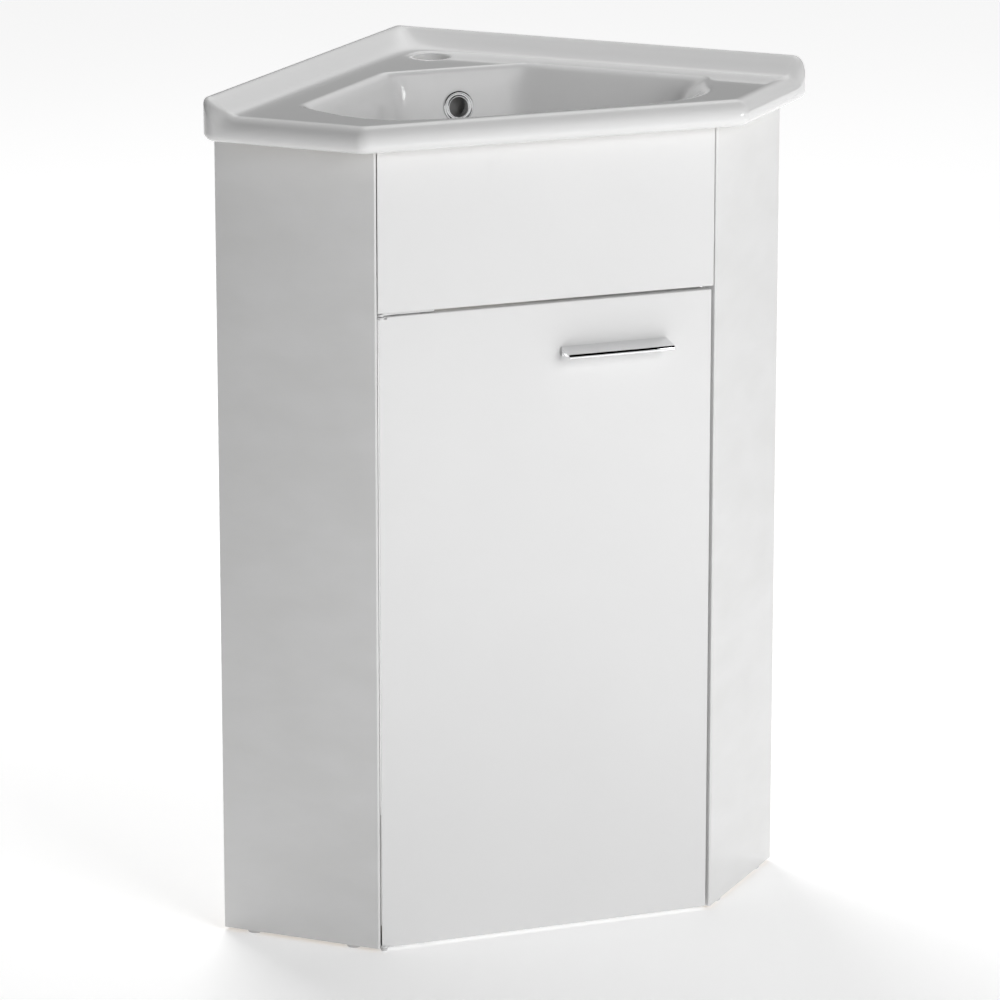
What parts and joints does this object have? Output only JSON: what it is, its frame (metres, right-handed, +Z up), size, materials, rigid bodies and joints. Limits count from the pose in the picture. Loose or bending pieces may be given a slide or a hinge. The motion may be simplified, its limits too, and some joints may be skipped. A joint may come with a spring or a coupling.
{
  "type": "corner vanity unit",
  "caption": "Corner vanity cabinet with a cut-off front, side-hung door, chrome grip and a ceramic corner basin with raised edges along both walls.",
  "frame": {"origin": "centre of the footprint, on the floor", "axes": "+Z up, -Y towards the person in front of the door, +Y towards the room corner"},
  "size_m": [0.601, 0.4158, 0.7924],
  "materials": {
    "white_lacquer": "white gloss lacquer on board",
    "white_board": "white melamine face on board",
    "plain_wood": "bare softwood",
    "glazed_white": "white glaze",
    "chrome": "polished chrome",
    "steel": "zinc-plated steel",
    "magnet": "dark sintered block",
    "white_plastic": "moulded white",
    "grey_plastic": "moulded grey",
    "clear_rubber": "soft clear buffer"
  },
  "bodies": {
    "cabinet": {"left_side_panel": "white_lacquer", "right_side_panel": "white_lacquer", "bottom_panel": "white_board", "fascia_panel": "white_lacquer", "left_top_rail": "white_board", "right_top_rail": "white_board", "corner_block": "plain_wood", "corner_screws": "steel", "fascia_blocks": "plain_wood", "cam_locks": "steel", "cam_bolts": "steel", "floor_glides": "grey_plastic", "basin": "glazed_white", "overflow_ring": "chrome", "upper_frame_leaf": "steel", "lower_frame_leaf": "steel", "frame_leaf_screws": "steel", "lower_pivot_pin": "steel", "catch_housing": "white_plastic", "catch_magnet": "magnet", "catch_screws": "steel"},
    "door": {"door_panel": "white_lacquer", "door_bumpers": "clear_rubber", "handle": "chrome", "handle_screws": "steel", "upper_door_leaf": "steel", "lower_door_leaf": "steel", "door_leaf_screws": "steel", "upper_pivot_pin": "steel", "strike_plate": "steel", "strike_screw": "steel"}
  },
  "joints": [
    {"name": "door_swing", "type": "hinge", "parent": "cabinet", "child": "door", "pos_m": [-0.16068, -0.18406, 0.3], "axis": [0, 0, -1], "range_deg": [0, 110]}
  ]
}
